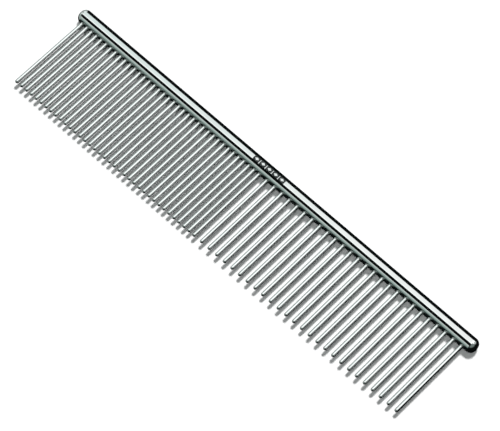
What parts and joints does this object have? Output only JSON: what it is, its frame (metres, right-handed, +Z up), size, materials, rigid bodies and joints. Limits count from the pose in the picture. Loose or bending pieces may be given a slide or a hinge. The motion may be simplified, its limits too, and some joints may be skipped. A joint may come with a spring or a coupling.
{
  "type": "pet grooming comb",
  "caption": "Steel pet grooming comb: a solid round bar with rounded ends and one row of straight round wire teeth, closely spaced along one part and widely spaced along the rest.",
  "frame": {"origin": "middle of the comb's footprint, on the plane that the bar's underside touches", "axes": "+X along the bar from the close teeth to the wide teeth, -Y the way the teeth point, +Z up, square to the row of teeth"},
  "size_m": [0.1906, 0.0388, 0.0056],
  "materials": {
    "bar": "bright polished plating",
    "tooth": "bright polished plating, slightly softer than the bar"
  },
  "bodies": {
    "root": {"spine": "bar", "fine_tooth_01": "tooth", "fine_tooth_02": "tooth", "fine_tooth_03": "tooth", "fine_tooth_04": "tooth", "fine_tooth_05": "tooth", "fine_tooth_06": "tooth", "fine_tooth_07": "tooth", "fine_tooth_08": "tooth", "fine_tooth_09": "tooth", "fine_tooth_10": "tooth", "fine_tooth_11": "tooth", "fine_tooth_12": "tooth", "fine_tooth_13": "tooth", "fine_tooth_14": "tooth", "fine_tooth_15": "tooth", "fine_tooth_16": "tooth", "fine_tooth_17": "tooth", "fine_tooth_18": "tooth", "fine_tooth_19": "tooth", "fine_tooth_20": "tooth", "fine_tooth_21": "tooth", "fine_tooth_22": "tooth", "fine_tooth_23": "tooth", "fine_tooth_24": "tooth", "fine_tooth_25": "tooth", "fine_tooth_26": "tooth", "fine_tooth_27": "tooth", "fine_tooth_28": "tooth", "fine_tooth_29": "tooth", "fine_tooth_30": "tooth", "fine_tooth_31": "tooth", "fine_tooth_32": "tooth", "fine_tooth_33": "tooth", "fine_tooth_34": "tooth", "fine_tooth_35": "tooth", "fine_tooth_36": "tooth", "fine_tooth_37": "tooth", "coarse_teeth_01": "tooth", "coarse_teeth_02": "tooth", "coarse_teeth_03": "tooth", "coarse_teeth_04": "tooth", "coarse_teeth_05": "tooth", "coarse_teeth_06": "tooth", "coarse_teeth_07": "tooth", "coarse_teeth_08": "tooth", "coarse_teeth_09": "tooth", "coarse_teeth_10": "tooth", "coarse_teeth_11": "tooth", "coarse_teeth_12": "tooth", "coarse_teeth_13": "tooth"}
  },
  "joints": []
}
